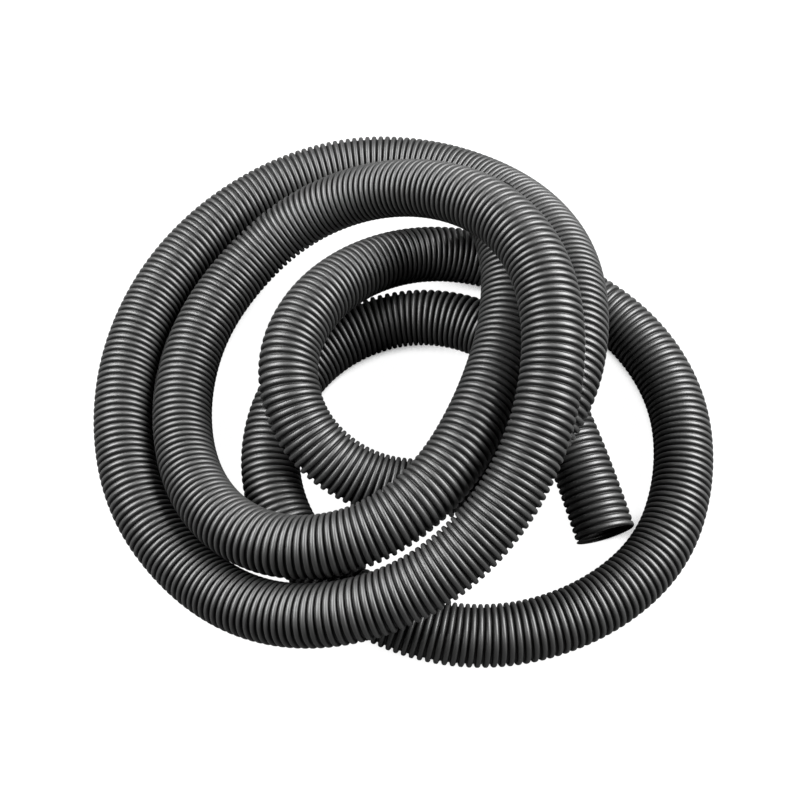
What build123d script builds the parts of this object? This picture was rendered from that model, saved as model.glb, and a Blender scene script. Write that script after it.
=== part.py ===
from build123d import *
import math
import os

# A bare corrugated hose, lying in loose, uneven turns on a flat surface.
# It is one continuous wall, cut square at both ends, with no cuff at either end.
# The corrugation is left to the finish: here the hose is plain, of its outside diameter
# over the corrugations. It is made in spans that meet face to face, in the order in which
# it runs. The two straight ends are open tubes with the real bore, which cuffs plug into;
# the curved spans between them are plain round lengths that stand for the hollow hose.

# ---------------------------------------------------------------- driving dimensions (mm)
OUTSIDE_DIAMETER = 46.0      # over the corrugations
BORE_DIAMETER = 38.0         # a 1 1/2 inch hose
MOUTH_LENGTH = 28.0          # straight stretch at the open mouth, its own span
TAIL_LENGTH = 23.0           # straight stretch at the other cut end, its own span
ARC_SHARE = 0.45             # part of the shorter run that an arc uses up at each side

# The route of the centre line, from the open mouth to the other end.
ROUTE = [
    (156, -136, 24), (138, -71, 33), (106, 4, 42), (62, 44, 34), (4, 56, 26), (-54, 34, 23),
    (-93, -12, 23), (-105, -74, 23), (-88, -134, 23), (-44, -182, 23), (16, -212, 23),
    (82, -216, 23), (147, -194, 23), (198, -151, 23), (222, -90, 23), (224, -24, 23), (198, 36, 23),
    (150, 80, 23), (86, 110, 23), (24, 112, 36), (-31, 84, 56), (-72, 37, 72), (-90, -18, 74),
    (-74, -70, 60), (-28, -102, 42), (32, -108, 40), (88, -94, 59), (122, -56, 88), (138, 4, 94),
    (137, 73, 80), (116, 132, 59), (79, 182, 34), (24, 212, 23), (-40, 215, 23), (-103, 193, 23),
    (-159, 149, 23), (-199, 92, 23), (-221, 24, 23), (-222, -46, 23), (-203, -112, 23),
    (-161, -165, 23), (-109, -201, 40), (-50, -213, 62), (12, -198, 78), (64, -158, 96),
    (98, -102, 118), (112, -38, 136), (106, 28, 142), (76, 84, 134), (28, 124, 110), (-28, 144, 78),
    (-84, 138, 48), (-132, 102, 28), (-165, 42, 27), (-175, -27, 29), (-163, -91, 36),
    (-130, -140, 52), (-80, -166, 70), (-22, -160, 82), (28, -124, 92), (62, -64, 95), (84, 8, 90),
    (88, 82, 87), (72, 131, 81),
]

# Each span's name, and the number of the last route point that it goes round.
SPANS = [
    ("floor_arch", 5), ("floor_left", 10), ("floor_right", 15), ("loop_climb", 20), ("loop_left", 24),
    ("loop_return", 28), ("outer_back", 33), ("outer_left", 38), ("outer_front", 43),
    ("bridge_right", 48), ("upper_back", 53), ("upper_front", 57), ("upper_return", 62),
]


def vector_route():
    return [Vector(*point) for point in ROUTE]


def corner_radius(before, corner, after):
    """Radius of the arc at a corner: as large as the shorter of its two runs allows."""
    first, second = corner - before, after - corner
    half_turn = math.radians(first.get_angle(second)) / 2
    return ARC_SHARE * min(first.length, second.length) / math.tan(half_turn)


def all_radii(points):
    """One radius for each point between the two ends."""
    return [corner_radius(*points[i - 1:i + 2]) for i in range(1, len(points) - 1)]


def along(start, end, distance):
    """The point that lies a distance from start, on the straight run towards end."""
    return start + (end - start).normalized() * distance


def section_plane(points):
    """The plane of a span's first face, square to its first run."""
    return Plane(origin=points[0], z_dir=points[1] - points[0])


def open_end(points):
    """A straight end of the hose, with its bore."""
    wall = Circle(OUTSIDE_DIAMETER / 2) - Circle(BORE_DIAMETER / 2)
    return sweep(section_plane(points) * wall, path=Line(*points))


def curved_span(points, radii):
    """A plain round length of the hose: straight runs joined by tangent arcs."""
    path = FilletPolyline(*points, radius=radii)
    section = section_plane(points) * Circle(OUTSIDE_DIAMETER / 2)
    return sweep(section, path=path), path.length


def cut_point(points, last):
    """The middle of the run that follows a route point."""
    return (points[last] + points[last + 1]) / 2


def curved_spans(points, mouth, tail):
    """Each curved span's name, with the points and the radii of its centre line."""
    radii = all_radii(points)
    start, first = mouth, 1
    for name, last in SPANS:
        end = tail if last == len(points) - 2 else cut_point(points, last)
        yield name, [start, *points[first:last + 1], end], radii[first - 1:last]
        start, first = end, last + 1


def save(name, solid):
    solid.label = name
    export_step(solid, f"parts/{name}.step")


def main():
    os.makedirs("parts", exist_ok=True)
    points = vector_route()
    mouth = along(points[0], points[1], MOUTH_LENGTH)
    tail = along(points[-1], points[-2], TAIL_LENGTH)
    save("mouth_end", open_end([points[0], mouth]))
    save("tail_end", open_end([tail, points[-1]]))

    section_area = math.pi * OUTSIDE_DIAMETER ** 2 / 4
    total = MOUTH_LENGTH + TAIL_LENGTH
    for name, span_points, radii in curved_spans(points, mouth, tail):
        solid, length = curved_span(span_points, radii)
        save(name, solid)
        total += length
        ratio = solid.volume / (section_area * length)
        print(f"{name}: length {length:.1f}, volume / (section x length) {ratio:.4f},",
              "radii", [round(radius) for radius in radii])
    print(f"hose length {total:.0f} mm, tightest bend {min(all_radii(points)):.0f} mm")


main()
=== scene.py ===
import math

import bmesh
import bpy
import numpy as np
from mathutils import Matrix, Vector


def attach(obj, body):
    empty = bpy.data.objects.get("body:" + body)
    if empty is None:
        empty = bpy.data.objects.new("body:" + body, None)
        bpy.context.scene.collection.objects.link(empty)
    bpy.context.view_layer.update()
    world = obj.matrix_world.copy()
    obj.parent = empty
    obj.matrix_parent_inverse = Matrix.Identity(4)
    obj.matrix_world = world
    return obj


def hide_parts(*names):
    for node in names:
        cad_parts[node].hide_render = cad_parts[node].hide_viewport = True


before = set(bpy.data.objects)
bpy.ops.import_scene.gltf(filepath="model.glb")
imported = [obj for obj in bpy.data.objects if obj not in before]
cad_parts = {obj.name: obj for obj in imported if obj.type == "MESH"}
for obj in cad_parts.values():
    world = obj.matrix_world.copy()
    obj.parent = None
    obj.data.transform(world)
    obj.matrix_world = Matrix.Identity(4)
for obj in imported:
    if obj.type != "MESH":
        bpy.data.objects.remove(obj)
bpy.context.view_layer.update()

# %% [markdown]
# # A corrugated suction hose, lying in loose turns
#
# The object is one length of flexible plastic hose with a 38 mm bore, cut square at both ends and
# dropped on a flat surface in uneven turns that cross over each other. Everything about its look comes
# from the wall: a single rib winds round it like a screw thread, and each turn of the rib catches the
# light as a fine bright line beside a dark groove.
#
# The hose could be a curve with a round bevel and a bump map, but its outline would be smooth, and the
# real outline is scalloped. So the rib is real geometry here: one long strip is wound round the centre
# line, turn by turn, and its cross-section is the rib's own profile.

# %% [markdown]
# ## Sizes
#
# The hose is 46 mm over its ribs. The rib's pitch is about a ninth of that, and it stands 2.8 mm proud
# of the groove's floor. The wall is thin, under a millimetre, so the inside shows the same thread.

# %% Sizes in metres
OUTSIDE_RADIUS = 0.023
RIB_PITCH = 0.0053
RIB_HEIGHT = 0.0028
RIB_HALF_WIDTH = 0.0020
WALL = 0.0009
GROOVE_RADIUS = OUTSIDE_RADIUS - RIB_HEIGHT
BORE_RADIUS = GROOVE_RADIUS - WALL
AROUND = 56                    # columns in one turn of the strip
LINED_LENGTH = 0.11            # how deep the inside is threaded at each end

# %% [markdown]
# ## The route
#
# The hose runs from its open mouth, at the lower right, back under the other turns, round a small loop,
# round the wide outer turn, and up over everything before its far end tucks under the top turn. These
# are the same points as the CAD model's, in millimetres, and they are the control points of a quadratic
# NURBS spline, which rounds them off as a stiff hose does.

# %% The route's control points
ROUTE_MM = [
    (156, -136, 24), (138, -71, 33), (106, 4, 42), (62, 44, 34), (4, 56, 26), (-54, 34, 23),
    (-93, -12, 23), (-105, -74, 23), (-88, -134, 23), (-44, -182, 23), (16, -212, 23),
    (82, -216, 23), (147, -194, 23), (198, -151, 23), (222, -90, 23), (224, -24, 23), (198, 36, 23),
    (150, 80, 23), (86, 110, 23), (24, 112, 36), (-31, 84, 56), (-72, 37, 72), (-90, -18, 74),
    (-74, -70, 60), (-28, -102, 42), (32, -108, 40), (88, -94, 59), (122, -56, 88), (138, 4, 94),
    (137, 73, 80), (116, 132, 59), (79, 182, 34), (24, 212, 23), (-40, 215, 23), (-103, 193, 23),
    (-159, 149, 23), (-199, 92, 23), (-221, 24, 23), (-222, -46, 23), (-203, -112, 23),
    (-161, -165, 23), (-109, -201, 40), (-50, -213, 62), (12, -198, 78), (64, -158, 96),
    (98, -102, 118), (112, -38, 136), (106, 28, 142), (76, 84, 134), (28, 124, 110), (-28, 144, 78),
    (-84, 138, 48), (-132, 102, 28), (-165, 42, 27), (-175, -27, 29), (-163, -91, 36),
    (-130, -140, 52), (-80, -166, 70), (-22, -160, 82), (28, -124, 92), (62, -64, 95), (84, 8, 90),
    (88, 82, 87), (72, 131, 81),
]
ROUTE = np.array(ROUTE_MM) / 1000


SPLINE_STEPS = 24              # points of the spline for each control point


def spline_points(points):
    """Points along the quadratic NURBS spline that has these control points."""
    curve = bpy.data.curves.new("route", "CURVE")
    curve.dimensions = "3D"
    spline = curve.splines.new("NURBS")
    spline.points.add(len(points) - 1)
    for control, place in zip(spline.points, points):
        control.co = (*place, 1.0)
    spline.order_u = 3
    spline.use_endpoint_u = True
    spline.resolution_u = SPLINE_STEPS
    holder = bpy.data.objects.new("route", curve)
    mesh = bpy.data.meshes.new_from_object(holder)
    places = np.empty(len(mesh.vertices) * 3)
    mesh.vertices.foreach_get("co", places)
    bpy.data.objects.remove(holder)
    bpy.data.curves.remove(curve)
    bpy.data.meshes.remove(mesh)
    return places.reshape(-1, 3)


def reach_of(places):
    """Distance along a line of points: the running sum of the gaps between neighbours."""
    gaps = np.linalg.norm(np.diff(places, axis=0), axis=1)
    return np.concatenate([[0.0], np.cumsum(gaps)])


route_line = spline_points(ROUTE)
HOSE_LENGTH = reach_of(route_line)[-1]
print(f"route: {len(ROUTE)} control points, {len(route_line)} spline points, {HOSE_LENGTH:.3f} m")

# %% [markdown]
# ## A table of the centre line
#
# Every vertex of the wall is placed from the centre line, so the line is first turned into a table with
# a row for each millimetre: the point, the direction, and the bend, which points to the inside of the
# curve and is as long as one over the radius. The direction is averaged over a few millimetres either
# side, because a quadratic spline changes its bend in steps.

# %% Centre line table
STEP = 0.001                   # a row for each millimetre
ALONG_ROWS = 8                 # rows averaged on each side, for the direction
BEND_ROWS = 10                 # and for the bend


def by_reach(reach, known_reach, rows):
    """Rows of a table read at other distances, column by column, with straight lines between."""
    return np.stack([np.interp(reach, known_reach, column) for column in rows.T], axis=-1)


def averaged(rows, half_width):
    """Each row becomes the mean of its neighbours on both sides; the ends repeat their last row."""
    kernel = np.hanning(2 * half_width + 3)[1:-1]
    kernel /= kernel.sum()
    padded = np.pad(rows, ((half_width, half_width), (0, 0)), mode="edge")
    return np.stack([np.convolve(column, kernel, mode="valid") for column in padded.T], axis=-1)


def unit(rows):
    """Each row divided by its own length."""
    return rows / np.linalg.norm(rows, axis=-1, keepdims=True)


table_reach = np.arange(0.0, HOSE_LENGTH, STEP)
table_centre = by_reach(table_reach, reach_of(route_line), route_line)
table_along = unit(averaged(np.gradient(table_centre, STEP, axis=0), ALONG_ROWS))
table_bend = averaged(np.gradient(table_along, STEP, axis=0), BEND_ROWS)
print(f"tightest bend: {1 / np.linalg.norm(table_bend, axis=1).max():.3f} m radius")

# %% [markdown]
# ## Placing points on the wall
#
# A point on the wall has a distance along the hose, an angle round it and a radius. Angle zero is the
# underside, where the seams between pieces are out of sight.

# %% From reach, angle and radius to a place


def ring_axes(reach):
    """The centre, the sideways direction and the upward direction of the hose at each distance.

    side = along x Z, made a unit vector; up = side x along. The hose never runs straight up.
    """
    centre = by_reach(reach, table_reach, table_centre)
    along = unit(by_reach(reach, table_reach, table_along))
    side = unit(np.cross(along, [0.0, 0.0, 1.0]))
    return centre, side, np.cross(side, along)


def outward(side, up, angle):
    """Unit vector out of the wall: -cos(angle) up + sin(angle) side."""
    return np.sin(angle)[..., None] * side - np.cos(angle)[..., None] * up


def wall_point(reach, angle, radius):
    """Centre plus radius times the outward direction."""
    centre, side, up = ring_axes(reach)
    return centre + radius[..., None] * outward(side, up, angle)


# %% [markdown]
# ## The rib
#
# The rib is a low arch with a broad back and steep shoulders, standing on the groove's floor. When the
# hose bends, the grooves do most of the bending: on the outside of a bend they open, on the inside they
# close up, and the ribs only widen or narrow by half as much. So the spacing of the turns is worked out
# at each angle, and the rib is placed in it at its own real width. A slow wander in the pitch, a few
# hundredths, keeps the turns from looking machine-perfect.

# %% Rib profile and spacing
BACK_FLATNESS = 3.5            # a higher power makes the rib's back flatter
SHOULDER = 0.6                 # a lower power makes its shoulders steeper
RIB_FLEX = 0.5                 # the part of a bend that a rib's width takes
WIDEST_HALF = 0.44             # a rib's half width is at most this share of the local pitch
BENDING_RADIUS = 0.93 * OUTSIDE_RADIUS
CUT_FADE = 0.05                # the wander fades out over this length at a cut

WANDER_PHASE = np.random.default_rng(46).uniform(0, 2 * math.pi, 3)
WANDER_LENGTH = np.array([0.071, 0.173, 0.397])
WANDER_SIZE = np.array([0.00015, 0.0003, 0.0006])


def wandering(reach):
    """Reach plus a small slow drift: the sum of three sine waves of different lengths."""
    waves = np.sin(2 * math.pi * reach[..., None] / WANDER_LENGTH + WANDER_PHASE)
    return reach + (waves * WANDER_SIZE).sum(axis=-1)


def rib_radius(across):
    """Radius of the outside at a share of the rib's half width: 0 is the crown and 1 its foot.

    groove + height x (1 - |across|^flatness)^shoulder, and the groove's floor beyond the foot.
    """
    inside = np.clip(1 - np.abs(across) ** BACK_FLATNESS, 0, 1)
    return GROOVE_RADIUS + RIB_HEIGHT * inside ** SHOULDER


def spacing(reach, angle):
    """Distance between turns at this angle, as a share of the pitch: 1 - radius x (outward . bend)."""
    centre, side, up = ring_axes(reach)
    bend = by_reach(reach, table_reach, table_bend)
    return 1 - BENDING_RADIUS * (outward(side, up, angle) * bend).sum(axis=-1)


# %% [markdown]
# ## Winding the strip
#
# The strip has a column of points for each step of angle, and each column crosses one rib, from the
# middle of one groove to the middle of the next. The last row of a column is the first row of the
# column one turn further on, so the groove is welded shut. At the two ends the strip is cut by a flat
# plane: points beyond it slide back along the rib's own profile to the plane, and faces that end up
# with no length are left out.

# %% Strip builder
ROWS_ACROSS = np.concatenate([[-1.0], np.sin(np.radians(np.linspace(-84, 84, 11))), [1.0]])
NO_LENGTH = 1e-7               # shorter than this along the hose, a face is left out
SAME_PLACE = 2e-6              # points closer than this are joined


def strip_grid(first_turn, last_turn, low, high):
    """Reach, angle and place across the rib of every point of a strip, as columns by rows.

    A row's offset from the crown is its share of the half width, turned into a share of the local
    spacing; the outermost rows are half a turn out. Reach is kept between low and high.
    """
    turn = np.arange(first_turn * AROUND, last_turn * AROUND + 1) / AROUND
    angle = 2 * math.pi * turn
    crown = turn * RIB_PITCH
    stretch = spacing(np.clip(crown, 0, HOSE_LENGTH), angle)
    widened = RIB_HALF_WIDTH * (1 + RIB_FLEX * (stretch - 1))
    half = np.minimum(widened, WIDEST_HALF * RIB_PITCH * stretch)
    offset = ROWS_ACROSS[None, :] * (half / (RIB_PITCH * stretch))[:, None]
    offset[:, 0] = -0.5
    offset[:, -1] = 0.5
    reach = np.clip(crown[:, None] + offset * RIB_PITCH, low, high)
    across = (reach - crown[:, None]) * (stretch / half)[:, None]
    return reach, np.repeat(angle[:, None], len(ROWS_ACROSS), axis=1), across


def strip_faces(columns, rows, kept):
    """Four corners for each face, with each column's last row welded to the next turn's first."""
    ids = np.arange(columns * rows).reshape(columns, rows)
    ids[:-AROUND, -1] = ids[AROUND:, 0]
    corners = np.stack([ids[:-1, :-1], ids[1:, :-1], ids[1:, 1:], ids[:-1, 1:]], axis=-1)
    return corners.reshape(-1, 4)[kept.reshape(-1)]


def has_length(reach):
    """True for each face whose four corners aren't all at one distance along the hose."""
    corners = np.stack([reach[:-1, :-1], reach[1:, :-1], reach[1:, 1:], reach[:-1, 1:]])
    return np.ptp(corners, axis=0) > NO_LENGTH


def settled(reach):
    """Distance along the hose after the pitch's wander, which fades out at both ends."""
    fade = np.clip(np.minimum(reach, HOSE_LENGTH - reach) / CUT_FADE, 0, 1)
    return reach + (wandering(reach) - reach) * fade


def weld(mesh):
    """Joins points that lie in one place, which drops the strip's collapsed corners at a cut end."""
    work = bmesh.new()
    work.from_mesh(mesh)
    bmesh.ops.remove_doubles(work, verts=work.verts, dist=SAME_PLACE)
    work.to_mesh(mesh)
    work.free()


def mesh_piece(name, places, faces, height_share):
    """A named, smooth-shaded piece that rides on the hose's body, without its unused points."""
    used, corners = np.unique(faces, return_inverse=True)
    corners = corners.reshape(faces.shape)
    mesh = bpy.data.meshes.new(name)
    mesh.from_pydata(places[used].tolist(), [], corners.tolist())
    height = mesh.attributes.new("crown", "FLOAT", "POINT")
    height.data.foreach_set("value", height_share[used])
    weld(mesh)
    mesh.shade_smooth()
    piece = bpy.data.objects.new(name, mesh)
    bpy.context.scene.collection.objects.link(piece)
    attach(piece, "root")
    return piece


def crown_share(across):
    """1 on top of a rib and 0 in the groove."""
    return (rib_radius(across) - GROOVE_RADIUS) / RIB_HEIGHT


def rib_piece(name, first_turn, last_turn):
    """The outside of the hose between two turns."""
    reach, angle, across = strip_grid(first_turn, last_turn, 0, HOSE_LENGTH)
    places = wall_point(settled(reach), angle, rib_radius(across)).reshape(-1, 3)
    faces = strip_faces(*reach.shape, has_length(reach))
    return mesh_piece(name, places, faces, crown_share(across).reshape(-1))


# %% [markdown]
# ## The outside, span by span
#
# The CAD model names the hose in spans, each ending halfway between two control points, where the
# spline touches its control polygon. The outside is wound in the same spans, rounded to whole turns,
# so each span keeps its name and stays a moderate mesh. Neighbours share the floor of one groove. The
# two short spans at the cuts take in a turn or two more than the CAD model's straight ends do.

# %% Spans and their turns
SPAN_ENDS = {
    "floor_arch": 5, "floor_left": 10, "floor_right": 15, "loop_climb": 20, "loop_left": 24,
    "loop_return": 28, "outer_back": 33, "outer_left": 38, "outer_front": 43, "bridge_right": 48,
    "upper_back": 53, "upper_front": 57,
}
END_SPAN = 0.033               # length of the short span at each cut


def reach_of_run_middle(index):
    """Distance along the hose at the middle of the run after a control point."""
    middle = (ROUTE[index] + ROUTE[index + 1]) / 2
    return table_reach[np.linalg.norm(table_centre - middle, axis=1).argmin()]


def span_turns():
    """Each span's name with its first and last turn."""
    ends = {"mouth_end": END_SPAN}
    ends.update({name: reach_of_run_middle(index) for name, index in SPAN_ENDS.items()})
    ends["upper_return"] = HOSE_LENGTH - END_SPAN
    ends["tail_end"] = HOSE_LENGTH + 1.5 * RIB_PITCH
    turns = {}
    start = -1
    for name, reach in ends.items():
        stop = round(reach / RIB_PITCH)
        turns[name] = (start, stop)
        start = stop
    return turns


ribs = []
for node, (first_turn, last_turn) in span_turns().items():
    piece = rib_piece(f"ribs_{node}", first_turn, last_turn)
    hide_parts(node)
    ribs.append(piece)
    print(f"{piece.name}: turns {first_turn} to {last_turn}, {len(piece.data.polygons)} faces")

# %% [markdown]
# ## The inside and the cut rims
#
# The inside of a thin wall has the same thread as the outside, so the first stretch in from each end
# is wound in the same way, one wall thickness smaller, and turned to face the bore. Deeper in, where
# nothing shows, the thread fades into a plain bore that runs the whole length. A flat rim closes the
# wall at each cut, and follows the rib as it runs out.

# %% Inner wall
THREAD_FADE = 0.03             # the thread runs out over this length
BORE_RINGS = 620
# painted shade: at this height the inside also takes the darker colour that stands in for the grooves'
# shade
INNER_HEIGHT = 0.3             # the inside counts as low on the rib, so it stays dull


def lining_radius(reach, across):
    """The outside's radius less the wall, with the thread fading to the plain bore deeper in."""
    depth = np.minimum(reach, HOSE_LENGTH - reach)
    fade = np.clip((LINED_LENGTH - depth) / THREAD_FADE, 0, 1)
    return BORE_RADIUS + (rib_radius(across) - GROOVE_RADIUS) * fade


def lining(first_turn, last_turn, low, high):
    """The threaded inside of one end, facing the bore."""
    reach, angle, across = strip_grid(first_turn, last_turn, low, high)
    places = wall_point(settled(reach), angle, lining_radius(reach, across)).reshape(-1, 3)
    faces = strip_faces(*reach.shape, has_length(reach))[:, ::-1]
    return places, faces


def plain_bore(low, high):
    """A round tube facing its own bore, one ring of points after another."""
    reach = np.repeat(np.linspace(low, high, BORE_RINGS)[:, None], AROUND, axis=1)
    angle = np.broadcast_to(2 * math.pi * np.arange(AROUND) / AROUND, reach.shape)
    places = wall_point(settled(reach), angle, np.full(reach.shape, BORE_RADIUS)).reshape(-1, 3)
    ids = np.arange(BORE_RINGS * AROUND).reshape(BORE_RINGS, AROUND)
    beside = np.roll(ids, -1, axis=1)
    faces = np.stack([ids[:-1], ids[1:], beside[1:], beside[:-1]], axis=-1).reshape(-1, 4)
    return places, faces


def cut_rim(reach_at_cut, facing):
    """The flat ring of wall at a cut, from the lining out to the rib's outside.

    facing is 1 at the mouth and -1 at the far end, which turns the faces the other way.
    """
    turn = np.arange(AROUND) / AROUND
    angle = 2 * math.pi * turn
    from_crown = (reach_at_cut / RIB_PITCH - turn + 0.5) % 1 - 0.5
    outside = rib_radius(from_crown * RIB_PITCH / RIB_HALF_WIDTH)
    reach = np.full((2, AROUND), reach_at_cut)
    radius = np.stack([outside - WALL, outside])
    places = wall_point(reach, np.broadcast_to(angle, reach.shape), radius).reshape(-1, 3)
    inner = np.arange(AROUND)
    outer = inner + AROUND
    faces = np.stack([inner, np.roll(inner, -1), np.roll(outer, -1), outer], axis=-1)
    return places, faces[:, ::facing]


def joined(parts):
    """One list of points and one of faces from several."""
    all_places = [places for places, _ in parts]
    starts = np.cumsum([0] + [len(places) for places in all_places[:-1]])
    faces = [faces + start for start, (_, faces) in zip(starts, parts)]
    return np.concatenate(all_places), np.concatenate(faces)


end_turn = math.ceil(HOSE_LENGTH / RIB_PITCH) + 1
lined_turns = math.ceil(LINED_LENGTH / RIB_PITCH) + 1
inner_places, inner_faces = joined([
    lining(-1, lined_turns, 0, LINED_LENGTH),
    plain_bore(LINED_LENGTH, HOSE_LENGTH - LINED_LENGTH),
    lining(end_turn - lined_turns - 2, end_turn, HOSE_LENGTH - LINED_LENGTH, HOSE_LENGTH),
    cut_rim(0.0, 1),
    cut_rim(HOSE_LENGTH, -1),
])
inner_height = np.full(len(inner_places), INNER_HEIGHT)
inner_wall = mesh_piece("inner_wall", inner_places, inner_faces, inner_height)
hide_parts(*span_turns())
print(f"{inner_wall.name}: {len(inner_wall.data.polygons)} faces")

# %% [markdown]
# ## The plastic
#
# Moulded charcoal plastic with a satin skin. The crowns are rubbed a little smoother than the grooves, and
# they shine more. The colour runs from dark grey on the crowns to near black in the grooves: partly wear
# on the crowns, partly painted shade in the grooves. The extra shine could be a changing specular level,
# but that is lost when the model is exported, so a clear coat is laid over a dull plastic, and its weight
# grows from none in the groove to nine tenths on the crown. The mesh itself says how high on a rib each
# point lies, so the wear and the painted shade follow the thread exactly.

# %% Wear and painted groove shade on the ribs, as a node group


def remapped(nodes, low, high, at_low, at_high):
    """A node that turns values from low to high into values from at_low to at_high, and stops there."""
    node = nodes.new("ShaderNodeMapRange")
    node.inputs["From Min"].default_value = low
    node.inputs["From Max"].default_value = high
    node.inputs["To Min"].default_value = at_low
    node.inputs["To Max"].default_value = at_high
    return node


def noise(nodes, scale, detail):
    """A noise texture of a scale, in waves to the metre, and a number of finer layers."""
    node = nodes.new("ShaderNodeTexNoise")
    node.inputs["Scale"].default_value = scale
    node.inputs["Detail"].default_value = detail
    return node


def wear_and_shade_group():
    """Node group: from the rib height and a place, the colour, roughness, shine and fine normal.

    height is 0 in the groove and 1 on the crown. The colour darkens from the crown to the groove: partly
    wear, partly painted shade in the groove. A broad cloud of noise makes some stretches greyer, and a
    fine one roughens the skin.
    """
    group = bpy.data.node_groups.new("rib_wear_and_shade", "ShaderNodeTree")
    for name, way, kind in (
        ("Height", "INPUT", "NodeSocketFloat"), ("Place", "INPUT", "NodeSocketVector"),
        ("Color", "OUTPUT", "NodeSocketColor"), ("Roughness", "OUTPUT", "NodeSocketFloat"),
        ("Shine", "OUTPUT", "NodeSocketFloat"), ("Normal", "OUTPUT", "NodeSocketVector"),
    ):
        group.interface.new_socket(name, in_out=way, socket_type=kind)
    nodes, links = group.nodes, group.links
    given = nodes.new("NodeGroupInput")
    result = nodes.new("NodeGroupOutput")

    # painted shade: near black in the groove and dark grey on the crown, standing in for the grooves'
    # shade as well as the crowns' wear
    colour = nodes.new("ShaderNodeValToRGB")
    colour.color_ramp.elements[0].color = (0.002, 0.002, 0.002, 1)
    colour.color_ramp.elements[1].color = (0.012, 0.0122, 0.012, 1)
    cloud = noise(nodes, 14, 3)
    dustiness = remapped(nodes, 0.45, 0.75, 0, 0.25)
    dust = nodes.new("ShaderNodeMix")
    dust.data_type = "RGBA"
    dust.inputs["B"].default_value = (0.020, 0.020, 0.019, 1)
    links.new(given.outputs["Height"], colour.inputs["Fac"])
    links.new(given.outputs["Place"], cloud.inputs["Vector"])
    links.new(cloud.outputs["Fac"], dustiness.inputs["Value"])
    links.new(dustiness.outputs["Result"], dust.inputs["Factor"])
    links.new(colour.outputs["Color"], dust.inputs["A"])
    links.new(dust.outputs["Result"], result.inputs["Color"])

    rough = remapped(nodes, 0, 1, 0.55, 0.50)
    shine = remapped(nodes, 0.35, 0.95, 0, 0.9)
    for node, output in ((rough, "Roughness"), (shine, "Shine")):
        links.new(given.outputs["Height"], node.inputs["Value"])
        links.new(node.outputs["Result"], result.inputs[output])

    grain = noise(nodes, 160, 2)
    bump = nodes.new("ShaderNodeBump")
    bump.inputs["Strength"].default_value = 0.10
    bump.inputs["Distance"].default_value = 0.0003
    links.new(given.outputs["Place"], grain.inputs["Vector"])
    links.new(grain.outputs["Fac"], bump.inputs["Height"])
    links.new(bump.outputs["Normal"], result.inputs["Normal"])
    return group


def plastic():
    """The hose's material: the wear and painted-shade group feeding one Principled BSDF."""
    material = bpy.data.materials.new("charcoal_plastic")
    material.use_nodes = True
    nodes, links = material.node_tree.nodes, material.node_tree.links
    surface = nodes["Principled BSDF"]
    surface.inputs["Specular IOR Level"].default_value = 0.35
    surface.inputs["Coat Roughness"].default_value = 0.50
    height = nodes.new("ShaderNodeAttribute")
    height.attribute_name = "crown"
    place = nodes.new("ShaderNodeTexCoord")
    wear_and_shade = nodes.new("ShaderNodeGroup")
    wear_and_shade.node_tree = wear_and_shade_group()
    links.new(height.outputs["Fac"], wear_and_shade.inputs["Height"])
    links.new(place.outputs["Object"], wear_and_shade.inputs["Place"])
    for output, socket in (
        ("Color", "Base Color"), ("Roughness", "Roughness"),
        ("Shine", "Coat Weight"), ("Normal", "Normal"),
    ):
        links.new(wear_and_shade.outputs[output], surface.inputs[socket])
    return material


hose_plastic = plastic()
for piece in [*ribs, inner_wall]:
    piece.data.materials.append(hose_plastic)
print("material:", hose_plastic.name, "on", len(ribs) + 1, "pieces")

# %% [markdown]
# ## Studio
#
# A white floor, and two broad soft lights, one high on each side, so that every rib carries a highlight
# along its crown and the lower sides of the turns fall to black.

# %% Floor, lights and world
FLOOR_HALF_WIDTH = 6.0
LAMP_WIDTH = 1.5
LAMP_DEPTH = 0.6


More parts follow.
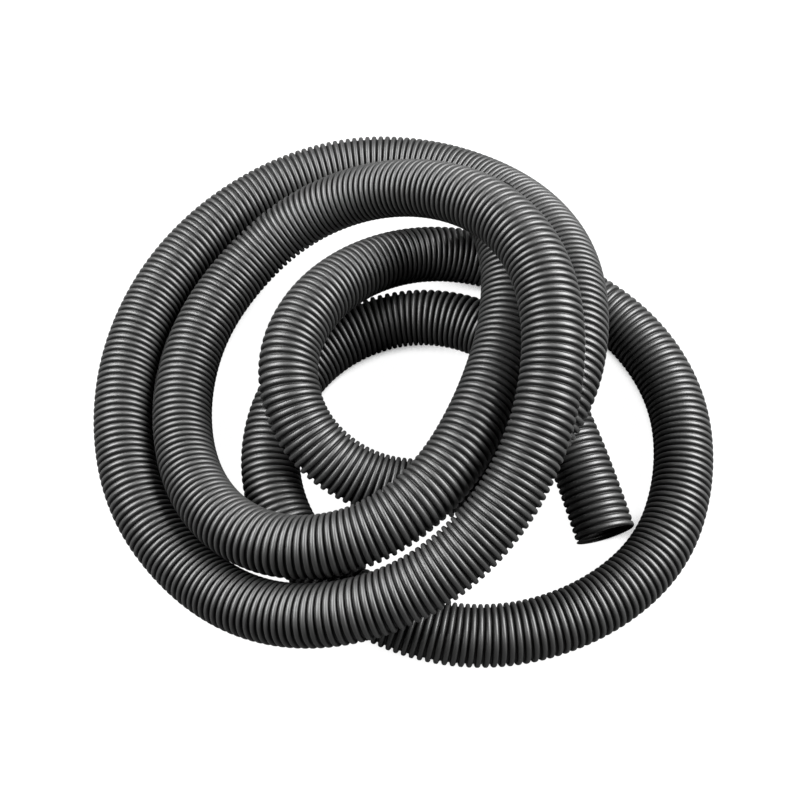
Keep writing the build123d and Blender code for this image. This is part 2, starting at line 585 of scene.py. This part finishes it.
def floor():
    """A large white plane under the hose.

    It glows evenly to the camera, as paper lit from behind does, and throws almost no light back. In the
    narrow gaps between turns that lie side by side, ambient occlusion cuts the glow to black: painted
    shade.
    """
    mesh = bpy.data.meshes.new("floor")
    corners = np.array([(-1, -1, 0), (1, -1, 0), (1, 1, 0), (-1, 1, 0)]) * FLOOR_HALF_WIDTH
    mesh.from_pydata(corners.tolist(), [], [(0, 1, 2, 3)])
    material = bpy.data.materials.new("white_floor")
    material.use_nodes = True
    nodes, links = material.node_tree.nodes, material.node_tree.links
    surface = nodes["Principled BSDF"]
    surface.inputs["Base Color"].default_value = (0.05, 0.05, 0.05, 1)
    surface.inputs["Roughness"].default_value = 0.9
    surface.inputs["Emission Color"].default_value = (1, 1, 1, 1)
    # painted shade: the floor's glow fades to black where ambient occlusion finds turns close by on both
    # sides
    painted_crevice_shade = nodes.new("ShaderNodeAmbientOcclusion")
    painted_crevice_shade.samples = 16
    painted_crevice_shade.inputs["Distance"].default_value = 0.03
    open_floor = remapped(nodes, 0.22, 0.36, 0, 1)
    seen = nodes.new("ShaderNodeLightPath")
    glow = nodes.new("ShaderNodeMath")
    glow.operation = "MULTIPLY"
    links.new(painted_crevice_shade.outputs["AO"], open_floor.inputs["Value"])
    links.new(open_floor.outputs["Result"], glow.inputs[0])
    links.new(seen.outputs["Is Camera Ray"], glow.inputs[1])
    links.new(glow.outputs["Value"], surface.inputs["Emission Strength"])
    mesh.materials.append(material)
    plane = bpy.data.objects.new("floor", mesh)
    bpy.context.scene.collection.objects.link(plane)


def softbox(name, place, power):
    """A rectangular area light at a place, facing the middle of the floor."""
    data = bpy.data.lights.new(name, "AREA")
    data.shape = "RECTANGLE"
    data.size = LAMP_WIDTH
    data.size_y = LAMP_DEPTH
    data.energy = power
    lamp = bpy.data.objects.new(name, data)
    lamp.location = place
    lamp.rotation_euler = (-Vector(place)).to_track_quat("-Z", "Y").to_euler()
    bpy.context.scene.collection.objects.link(lamp)


floor()
softbox("left_softbox", (-0.95, 0.25, 0.95), 62)
softbox("right_softbox", (0.95, 0.25, 0.95), 84)

world = bpy.data.worlds.new("studio")
bpy.context.scene.world = world
world.use_nodes = True
background = world.node_tree.nodes["Background"]
background.inputs["Color"].default_value = (1, 1, 1, 1)
background.inputs["Strength"].default_value = 0.05
bpy.context.scene.view_settings.view_transform = "Standard"
print("studio: a floor,", len(bpy.data.lights), "softboxes and a dim white world")

# %% [markdown]
# ## Camera
#
# A long lens looking down at the hose from in front.

# %% Camera
CAMERA_TARGET = Vector((0, -0.010, 0))
CAMERA_DISTANCE = 1.012
CAMERA_ELEVATION = math.radians(63.5)
LENS = 55.35                   # focal length in millimetres
SENSOR_WIDTH = 36

camera_data = bpy.data.cameras.new("camera")
camera_data.sensor_width = SENSOR_WIDTH
camera_data.lens = LENS
camera = bpy.data.objects.new("camera", camera_data)
away = Vector((0, -math.cos(CAMERA_ELEVATION), math.sin(CAMERA_ELEVATION)))
camera.location = CAMERA_TARGET + away * CAMERA_DISTANCE
camera.rotation_euler = (-away).to_track_quat("-Z", "Y").to_euler()
bpy.context.scene.collection.objects.link(camera)
bpy.context.scene.camera = camera
print("camera at", [round(value, 3) for value in camera.location])

# %% [markdown]
# ## Update
#
# The view layer is brought up to date.

# %% Update
bpy.context.view_layer.update()
